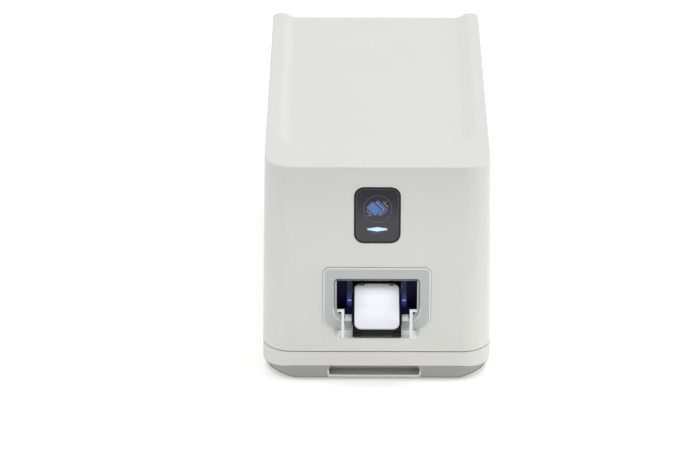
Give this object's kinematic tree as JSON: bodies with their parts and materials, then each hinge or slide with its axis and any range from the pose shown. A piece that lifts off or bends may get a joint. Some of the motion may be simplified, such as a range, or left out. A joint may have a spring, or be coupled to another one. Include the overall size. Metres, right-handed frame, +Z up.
{
  "type": "phosphor plate scanner",
  "caption": "Desktop scanner for dental phosphor imaging plates: boxy housing on a stepped base, front mouth with folding lip, sloping plate tray, small upright display, rear fan.",
  "frame": {"origin": "on the table, under the middle of the whole as it stands at rest, plate and tray included", "axes": "+Z up, the front with its mouth faces -Y, +X is to the right of a viewer in front"},
  "size_m": [0.1544, 0.2904, 0.16],
  "materials": {
    "housing_white": "satin",
    "base_white": "satin",
    "pan_grey": "matt",
    "foot_rubber": "matt",
    "steel": "ground",
    "display_rim": "satin",
    "display_glass": "polished",
    "status_light": "frosted",
    "board_black": "matt",
    "inner_black": "matt",
    "inner_dark": "matt",
    "guide_blue": "satin",
    "bezel_grey": "satin",
    "clear_lip": "clear",
    "plate_white": "satin",
    "holder_dark": "matt",
    "aluminium": "machined",
    "bronze": "sintered",
    "frame_metal": "powder coated",
    "motor_black": "satin",
    "mirror": "polished",
    "lens_glass": "polished",
    "clear_bar": "polished",
    "board_green": "satin",
    "panel_grey": "powder coated",
    "connector_black": "satin",
    "connector_metal": "plated"
  },
  "bodies": {
    "housing": {"upper_housing": "housing_white", "base_shell": "base_white", "base_pan": "pan_grey", "rubber_feet": "foot_rubber", "base_screws": "steel", "display_frame": "display_rim", "display_window": "display_glass", "status_light": "status_light", "display_module": "board_black", "display_bracket": "inner_black", "slot_bezel": "bezel_grey", "flap_pin": "steel", "mouth_throat": "inner_dark", "gate_guides": "guide_blue", "sill_ramp": "inner_dark", "front_block": "aluminium", "rear_block": "aluminium", "guide_rods": "steel", "screw_bearings": "bronze", "motor_plate": "aluminium", "drive_motor": "motor_black", "left_side_frame": "frame_metal", "right_side_frame": "frame_metal", "ramp_cover": "inner_black", "light_collector": "clear_bar", "photomultiplier": "motor_black", "tube_pedestal": "inner_black", "erase_lamp": "board_green", "optics_bench": "frame_metal", "fold_mirror": "mirror", "mirror_holder": "inner_black", "polygon_motor": "steel", "laser_module": "bronze", "laser_clamp": "aluminium", "scan_lens": "lens_glass", "main_board": "board_green", "power_board": "board_green", "board_spacers": "bronze", "rear_panel": "panel_grey", "rear_screws": "steel", "fan_frame": "motor_black", "power_inlet": "connector_black", "network_port": "connector_metal", "switch_frame": "connector_black"},
    "tray": {"plate_holder": "holder_dark", "phosphor_plate": "plate_white", "carriage": "aluminium", "carriage_bushings": "bronze", "lead_nut": "bronze", "plate_clips": "steel"},
    "lip": {"mouth_flap": "clear_lip"},
    "gate": {"light_gate": "inner_black"},
    "screw": {"lead_screw": "steel", "motor_shaft": "steel", "shaft_coupler": "aluminium"},
    "polygon": {"polygon_mirror": "mirror"},
    "fan": {"fan_rotor": "motor_black"},
    "rocker": {"switch_rocker": "connector_black"}
  },
  "joints": [
    {"name": "tray_slide", "type": "slide", "parent": "housing", "child": "tray", "axis": [0, 0.9397, 0.342], "range_m": [0, 0.0835]},
    {"name": "lip_fold", "type": "hinge", "parent": "housing", "child": "lip", "pos_m": [0, -0.132, 0.03963], "axis": [-1, 0, 0], "range_deg": [0, 88]},
    {"name": "gate_drop", "type": "slide", "parent": "housing", "child": "gate", "axis": [0, 0, -1], "range_m": [0, 0.017]},
    {"name": "screw_spin", "type": "hinge", "parent": "housing", "child": "screw", "pos_m": [0, -0.04526, 0.07096], "axis": [0, 0.9397, 0.342], "range_deg": [0, 2505]},
    {"name": "polygon_spin", "type": "hinge", "parent": "housing", "child": "polygon", "pos_m": [0, -0.01299, 0.134], "axis": [0, 0, 1], "continuous": true},
    {"name": "fan_spin", "type": "hinge", "parent": "housing", "child": "fan", "pos_m": [0, 0.1309, 0.0918], "axis": [0, 0.9999, 0.0162], "continuous": true},
    {"name": "power_rocker", "type": "hinge", "parent": "housing", "child": "rocker", "pos_m": [-0.041, 0.14163, 0.04671], "axis": [1, 0, 0], "range_deg": [0, 25]}
  ],
  "couplings": [
    {"joint": "lip_fold", "follows": "tray_slide", "rad_per_m": 18.394},
    {"joint": "gate_drop", "follows": "tray_slide", "ratio": 0.20359},
    {"joint": "screw_spin", "follows": "tray_slide", "rad_per_m": 523.6}
  ]
}
